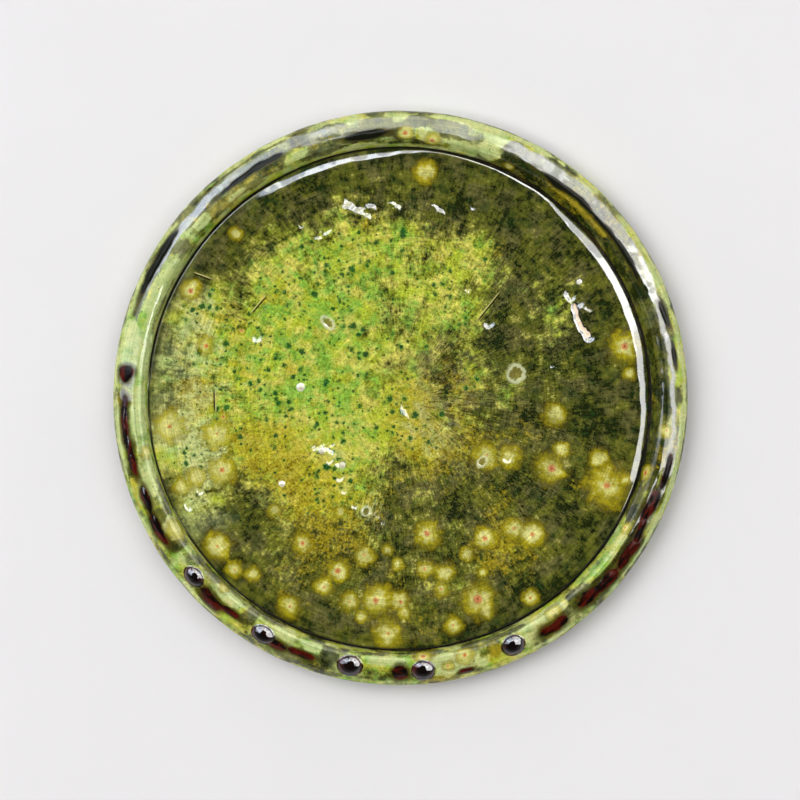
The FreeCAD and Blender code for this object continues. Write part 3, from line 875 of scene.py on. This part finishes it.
# Scattered copper specks, larger ones and a dust of small ones: (spacing, shift, radius, how rare).
COPPER_SPECKS = [(4.4, 3, 0.9, 0.42), (2.9, 43, 0.64, 0.42), (1.7, 23, 0.36, 0.36)]


def green_glaze(name):
    """The fused green glaze: clouds of light and dark, specks, pale spots, flow marks and fine lines."""
    g = Graph(name)
    centred = g.centred
    along, tone, ochre, milk, green, halo, core, calm, dull = [g.attribute(key) for key in (
        "along", "tone", "ochre", "milk", "green", "halo", "core", "calm", "dull")]

    def calmed(value, share):
        return g.add(0.5, g.times(g.less(value, 0.5), share))

    fine = g.add(1.0, g.times(calm, -0.75))
    apart = g.times(fine, g.step(g.radius, 3.0, 24.0))
    clouds = g.noise(12, 6, 0.66)
    blots = calmed(g.noise(3, 5, 0.68, 31), g.add(1.0, g.times(calm, -0.25)))
    grain = calmed(g.noise(0.9, 3, 0.65, 57), fine)
    dust_and_glints = calmed(g.noise(0.42, 2, 0.6, 83), fine)
    streaks = calmed(g.flow(30, 0.12, along, 3, 0.62, 7), apart)
    fine_streaks = calmed(g.flow(78, 0.3, along, 3, 0.68, 17), apart)
    rings = g.flow(3, 0.8, along, 4, 0.62, 27)
    lines = g.flow(4.5, 2, along, 3, 0.6, 37)

    level = g.add(tone, centred(clouds, 0.85), centred(blots, 0.85), centred(streaks, 0.45),
                  centred(grain, 0.3), centred(fine_streaks, 0.25))
    light = g.step(level, 0.15, 0.95)

    deep = g.add(0.4, centred(blots, 0.9), centred(fine_streaks, 0.55), centred(rings, 0.35),
                 centred(dust_and_glints, 0.2), centred(clouds, 0.9), g.times(level, 0.25))
    murk = g.mix(g.step(g.noise(9, 4, 0.6, 221), 0.42, 0.66), OLIVE, paint(106, 103, 56))
    dark = g.mix(g.step(deep, -0.05, 0.66), paint(33, 42, 12), murk)
    dark = g.coat(dark, g.step(deep, 0.7, 1.05), paint(180, 170, 92), 0.9)
    bottle = g.step(g.add(g.noise(6, 5, 0.65, 71), centred(fine_streaks, 0.6)), 0.56, 0.85)
    dark = g.coat(dark, bottle, paint(26, 56, 24), 0.62)

    hue = g.add(g.noise(6.5, 5, 0.62, 61), centred(blots, 0.4))
    pale = g.mix(g.step(hue, 0.3, 0.74), LIME, STRAW)
    leaf = g.add(g.noise(4.6, 6, 0.66, 93), g.times(green, 0.26), centred(grain, 0.2), centred(streaks, 0.2))
    pale = g.coat(pale, g.step(leaf, 0.46, 0.9), LEAF, 0.78)
    fresh = g.add(0.5, centred(blots, 0.9), centred(grain, 0.5), centred(dust_and_glints, 0.2), centred(rings, 0.35))
    pale = g.mix(1.0, pale, g.mix(fresh, (0.66, 0.64, 0.44, 1), (1.18, 1.18, 1.2, 1)), "MULTIPLY")
    colour = g.mix(light, dark, pale)

    amber = g.mix(g.step(g.add(grain, centred(blots, 0.6)), 0.1, 0.7), paint(158, 140, 20), OCHRE)
    ochre_on = g.add(ochre, centred(g.noise(4.5, 6, 0.75, 113), 1.3), centred(grain, 0.7),
                     centred(fine_streaks, 0.4))
    colour = g.coat(colour, g.step(ochre_on, 0.34, 1.0), amber, 0.62)

    milk_on = g.add(milk, centred(g.noise(5, 5, 0.65, 133), 1.1), centred(streaks, 0.7), centred(grain, 0.3))
    milk_on = g.times(g.step(milk_on, 0.4, 1.25), g.add(0.25, g.times(light, 0.75)))
    colour = g.coat(colour, milk_on, g.mix(g.add(blots, centred(rings, 0.4)), MILK, CREAM), 0.74)

    # Brown dots in rows that fan out beside the middle.
    rows = g.times(g.step(g.flow(24, 0.3, along, 1, 0.5, 47), 0.46, 0.72),
                   g.step(g.flow(2.5, 0.62, along, 1, 0.5, 67), 0.3, 0.6))
    pips = g.maths("MINIMUM", g.attribute("pips"), 1.0)
    mauve = g.step(g.add(g.noise(5, 5, 0.65, 171), centred(grain, 0.3)), 0.42, 0.72)
    colour = g.coat(colour, g.times(pips, mauve), paint(124, 116, 92), 0.55)
    colour = g.coat(colour, g.times(rows, pips), paint(74, 60, 26), 0.8)

    # Copper specks, thickest where the glaze is light.
    room = g.step(g.add(light, g.times(green, 0.4), centred(clouds, 0.5)), 0.25, 0.95)
    room = g.times(room, g.step(calm, 0.75, 0.3))
    for size, shift, largest, rare in COPPER_SPECKS:
        distance, pick = g.cells(size, shift)
        limit = g.times(g.times(g.step(pick[0], rare, 0.85), largest * 1.15), room)
        inside = g.less(limit, g.add(distance, centred(g.noise(1.1, 3, 0.65, 57), 1.2)))
        around = g.times(g.step(inside, -0.9, 0.1), g.step(limit, 0.2, 0.8))
        colour = g.coat(colour, around, paint(64, 142, 46), 0.5)
        shade = g.mix(pick[1], paint(4, 56, 34), paint(20, 84, 34))
        colour = g.coat(colour, g.step(inside, -0.3, 0.24), shade, 0.9)

    # Pale spots round pinholes: a brown ring, yellow inside it, cream in the middle, and the rusty core.
    spot = g.add(halo, centred(blots, 0.95), centred(grain, 0.45), centred(clouds, 0.9))
    glow = g.maths("MINIMUM", g.add(0.32, g.times(g.noise(8, 2, 0.5, 201), 0.85)), 1.0)
    ring = g.times(g.step(spot, 1.6, 1.1), g.step(spot, 0.62, 1.0))
    colour = g.coat(colour, ring, paint(94, 74, 8), 0.42)
    colour = g.coat(colour, g.times(g.step(spot, 1.36, 0.7), glow), paint(190, 176, 26), 0.92)
    colour = g.coat(colour, g.times(g.step(spot, 0.84, 0.3), glow), paint(232, 228, 150), 0.95)
    core_edge = g.less(core, g.add(halo, centred(grain, 0.12)))
    core_colour = g.mix(g.noise(20, 1, 0.5, 11), PINK, ORANGE)
    colour = g.coat(colour, g.step(core_edge, -0.1, 0.1), core_colour, 0.9)
    colour = g.coat(colour, g.step(g.less(g.times(core, 0.35), halo), -0.02, 0.03), RUST, 0.7)

    # Thick brown flow: olive fringe, rust inside, nearly black where it is deepest.
    run = g.add(g.attribute("run"), centred(blots, 0.8), centred(grain, 0.25))
    deepest = g.step(g.flow(11, 0.5, along, 3, 0.6, 151), 0.4, 0.66)
    rust = g.mix(deepest, PITCH, g.mix(grain, paint(62, 12, 6), paint(98, 26, 10)))
    thick = g.mix(g.attribute("rusty"), paint(24, 26, 16), rust)
    fringe = g.mix(g.step(blots, 0.35, 0.65), paint(70, 52, 10), paint(60, 68, 16))
    colour = g.coat(colour, g.step(run, -1.0, -0.15), fringe, 0.85)
    colour = g.mix(g.step(run, -0.2, 0.16), colour, thick)

    # Fine grain over everything: the glaze is full of tiny bubbles and unmelted ash.
    mottle = g.add(0.51, centred(dust_and_glints, 0.45), centred(grain, 0.45), centred(fine_streaks, 0.5),
                   centred(lines, 0.5))
    colour = g.mix(1.0, colour, g.mix(mottle, (0.42, 0.44, 0.36, 1), (1.5, 1.5, 1.42, 1)), "MULTIPLY")
    # Pale dots where the finest noise peaks are painted glints.
    colour = g.coat(colour, g.step(dust_and_glints, 0.76, 0.98), paint(226, 232, 160), 0.35)

    # Painted shade along the crease, then grit, healed bubbles, scratches and the bare scar.
    colour = g.coat(colour, g.attribute("seam"), paint(10, 10, 5), 0.95)
    colour = g.mix(g.step(g.attribute("grit"), 0.3, 0.75), colour, paint(236, 232, 214))
    crater = g.add(g.attribute("crater"), centred(blots, 0.5), centred(grain, 0.3))
    colour = g.coat(colour, g.step(crater, 0.85, 0.55), paint(126, 116, 54), 0.8)
    # The pale ring is partly the cream glaze of the bubble's raised rim and partly a painted highlight.
    crater_rim_and_highlight = g.times(g.step(crater, 0.62, 0.85), g.step(crater, 1.3, 1.0))
    colour = g.coat(colour, crater_rim_and_highlight, paint(222, 226, 178), 0.75)
    beside, between_ends = g.attribute("scratch_off"), g.attribute("scratch_on")
    # Each scratch gets a dark line of painted shade in its groove, which the bump also sinks, and a painted
    # highlight along one side.
    scratch_groove_and_shade = g.times(g.step(g.maths("ABSOLUTE", beside), 0.34, 0.16), between_ends)
    scratch_highlight = g.times(g.step(g.maths("ABSOLUTE", g.less(beside, 0.5)), 0.3, 0.15), between_ends)
    colour = g.coat(colour, scratch_highlight, paint(216, 206, 130), 0.7)
    colour = g.coat(colour, scratch_groove_and_shade, paint(24, 14, 4), 0.95)
    bare = g.add(g.attribute("bare"), centred(grain, 0.2))
    clay = g.mix(g.noise(1.4, 4, 0.6, 5), BISCUIT, paint(244, 236, 214))
    # Painted shade round the scar, where the glaze walls drop to the clay.
    colour = g.mix(g.step(bare, 0.05, 0.25), colour, paint(22, 14, 6))
    colour = g.mix(g.step(bare, 0.45, 0.8), colour, clay)

    roughness = g.add(0.045, g.times(grain, 0.05), g.times(g.step(bare, 0.3, 0.7), 0.6), g.times(dull, 0.16))
    facing = g.node("ShaderNodeLayerWeight", {"Blend": 0.5}).outputs["Facing"]
    grazing = g.add(0.22, g.times(g.step(facing, 0.6, 0.36), 0.78))
    gloss = g.times(g.add(0.5, g.times(dull, -0.46)), grazing)
    put(g.tree, g.shader.inputs["Specular IOR Level"], gloss)
    bump = g.times(g.add(g.times(blots, 0.7), g.times(rings, 0.4), g.times(grain, 0.1)), fine)
    bump = g.add(bump, g.times(streaks, 0.2), g.times(scratch_groove_and_shade, -0.4))
    return g.finish(colour, roughness, bump, 0.045, ior=1.62)


def dark_glaze(name):
    """Glaze so thick that it looks black, with a rusty edge where it thins."""
    g = Graph(name)
    share = g.add(g.attribute("bead"), g.centred(g.noise(2.2, 4, 0.6), 0.5))
    side = g.step(g.noise(3.5, 2, 0.5, 3), 0.35, 0.65)
    edge = g.mix(side, paint(88, 20, 10), paint(20, 24, 10))
    colour = g.coat(PITCH, g.step(share, 0.5, 1.0), edge, 0.6)
    colour = g.mix(g.step(share, 1.02, 1.16), colour, g.mix(g.noise(3, 4, 0.6), OLIVE, LIME))
    roughness = g.add(0.02, g.times(g.noise(1.2, 2, 0.5), 0.03))
    return g.finish(colour, roughness, g.noise(1.6, 2, 0.5, 9), 0.02, ior=1.62)


def crease_material(name):
    """Brown-black glaze pooled in the crease, pale where it healed over."""
    g = Graph(name)
    base = g.mix(g.noise(2.5, 4, 0.6), PITCH, paint(34, 30, 12))
    base = g.coat(base, g.step(g.noise(9, 3, 0.6, 4), 0.6, 0.85), paint(76, 58, 16), 0.5)
    colour = g.coat(base, g.attribute("pale"), g.mix(g.noise(3, 3, 0.6), STRAW, MILK), 0.85)
    roughness = g.add(0.12, g.times(g.noise(1, 2, 0.5), 0.1))
    return g.finish(colour, roughness, g.noise(1.5, 3, 0.5), 0.03)


def clay_material(name):
    """Buff earthenware, with turning lines, sand and a few dark grains."""
    g = Graph(name)
    rings = g.flow(2, 1.1, g.add(g.radius, g.z), 4, 0.65)
    body = g.mix(g.noise(14, 5, 0.6), paint(196, 142, 96), paint(222, 176, 130))
    body = g.coat(body, rings, paint(168, 112, 70), 0.35)
    sand = g.noise(0.5, 3, 0.6)
    body = g.coat(body, g.step(sand, 0.62, 0.85), paint(238, 210, 170), 0.5)
    body = g.coat(body, g.grains(3.2, 5, 0.6, 0.4, (-0.08, 0.06)), paint(86, 56, 36), 0.7)
    bump = g.add(rings, g.times(sand, 0.5))
    return g.finish(body, g.add(0.72, g.times(sand, 0.18)), bump, 0.12, ior=1.45)


def back_glaze_material(name):
    """A thin olive wash, streaked by the brush and broken by the clay under it."""
    g = Graph(name)
    rings = g.flow(4, 0.7, g.radius, 5, 0.65)
    blots = g.noise(5, 5, 0.65)
    colour = g.mix(blots, paint(62, 70, 24), paint(132, 134, 52))
    colour = g.coat(colour, rings, paint(96, 84, 26), 0.55)
    colour = g.mix(g.step(g.add(blots, g.times(rings, 0.4)), 0.98, 1.2), colour, paint(176, 150, 92))
    colour = g.coat(colour, g.grains(4, 9, 0.5, 0.7, (-0.1, 0.1)), paint(24, 40, 16), 0.7)
    return g.finish(colour, g.add(0.12, g.times(blots, 0.16)), g.add(rings, blots), 0.06, ior=1.55)


def grit_material(name):
    """Pale grains of kiln sand."""
    g = Graph(name)
    colour = g.mix(g.noise(0.8, 4, 0.6), paint(232, 226, 204), paint(176, 168, 120))
    roughness = g.add(0.2, g.times(g.noise(0.5, 3, 0.6, 4), 0.3))
    return g.finish(colour, roughness, g.noise(0.6, 3, 0.6), 0.1)


# ---------------------------------------------------------------- the object

glaze = green_glaze("green_glaze")
back = back_glaze_material("back_glaze")
make_floor(glaze)
make_rim(glaze)
make_runs(glaze)
make_beads(dark_glaze("bead_glaze"))
make_crease(crease_material("crease_glaze"))
make_back(back)


def repaint(node, material):
    """Give a piece of the exact model its look."""
    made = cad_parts[node]
    made.data.materials.clear()
    made.data.materials.append(material)


repaint("clay_body", clay_material("clay"))
repaint("foot_recess_glaze", back)
repaint("kiln_grit", grit_material("grit"))


# ---------------------------------------------------------------- table, lights and camera

TABLE_HALF = 6.0
LIGHT_DISTANCE = 5.0
WHITE, BLUISH = (1.0, 1.0, 1.0), (0.78, 0.85, 1.0)
# Boxes that show only in the glaze: (azimuth, power, colour).
LIGHT_BOXES = [(6, 540, WHITE), (44, 440, WHITE), (80, 400, WHITE), (128, 420, BLUISH), (154, 260, BLUISH)]
CAMERA_HEIGHT = 2.0
VIEW_WIDTH = 0.2783  # of the table's top
SENSOR = 36


def make_table():
    g = Graph("table")
    g.finish(g.mix(g.noise(60, 2, 0.5), paint(234, 232, 233), paint(236, 234, 235)), 0.7, ior=1.3)
    mesh = bpy.data.meshes.new("table")
    corners = [(TABLE_HALF * x, TABLE_HALF * y, 0) for x, y in ((-1, -1), (1, -1), (1, 1), (-1, 1))]
    mesh.from_pydata(corners, [], [(0, 1, 2, 3)])
    mesh.materials.append(g.material)
    made = bpy.data.objects.new("table", mesh)
    bpy.context.scene.collection.objects.link(made)


def area_light(name, azimuth, elevation, size, power, colour, glossy):
    """A lamp that faces the plate, seen only in the glaze, or else only by what it lights."""
    data = bpy.data.lights.new(name, "AREA")
    data.shape = "RECTANGLE"
    data.size, data.size_y = size
    data.energy = power
    data.color = colour
    made = bpy.data.objects.new(name, data)
    flat, height = place(elevation, LIGHT_DISTANCE)
    made.location = (*place(azimuth, flat), height)
    made.rotation_euler = (-Vector(made.location)).to_track_quat("-Z", "Y").to_euler()
    bpy.context.scene.collection.objects.link(made)
    made.visible_camera = False
    made.visible_glossy = glossy
    made.visible_diffuse = not glossy


def make_lights():
    area_light("key", 165, 58, (3.6, 3.6), 132, WHITE, glossy=False)
    area_light("top", 60, 80, (6.0, 6.0), 143, WHITE, glossy=False)
    for azimuth, power, colour in LIGHT_BOXES:
        area_light(f"box_{azimuth}", azimuth, 39, (3.4, 4.8), power, colour, glossy=True)


def make_world():
    """A room, pale at the sides and dark overhead, that reflections see dimmer than the table does."""
    world = bpy.data.worlds.new("studio")
    bpy.context.scene.world = world
    world.use_nodes = True
    tree = world.node_tree
    direction = add_node(tree, "ShaderNodeTexCoord").outputs["Generated"]
    parts = add_node(tree, "ShaderNodeSeparateXYZ", {0: direction}).outputs
    height = add_node(tree, "ShaderNodeMapRange", {0: parts[2], 1: 0.1, 2: 0.75},
                      interpolation_type="SMOOTHSTEP").outputs[0]
    sides, overhead = (0.72, 0.72, 0.73, 1), (0.05, 0.05, 0.05, 1)
    colour = add_node(tree, "ShaderNodeMix", {0: height, 6: sides, 7: overhead}, data_type="RGBA").outputs[2]
    reflected = add_node(tree, "ShaderNodeLightPath").outputs["Is Glossy Ray"]
    strength = add_node(tree, "ShaderNodeMapRange", {0: reflected, 3: 1.0, 4: 0.45}).outputs[0]
    for socket, value in zip(tree.nodes["Background"].inputs, (colour, strength)):
        put(tree, socket, value)


def make_camera():
    data = bpy.data.cameras.new("camera")
    made = bpy.data.objects.new("camera", data)
    bpy.context.scene.collection.objects.link(made)
    data.sensor_width = SENSOR
    data.lens = SENSOR * CAMERA_HEIGHT / VIEW_WIDTH
    data.clip_start, data.clip_end = 0.1, 50
    made.location = (-0.0002, -0.0007, CAMERA_HEIGHT + 0.011)
    bpy.context.scene.camera = made


make_table()
make_lights()
make_world()
make_camera()
scene = bpy.context.scene
scene.view_settings.view_transform = "Standard"
scene.view_settings.look = "None"

bpy.context.view_layer.update()
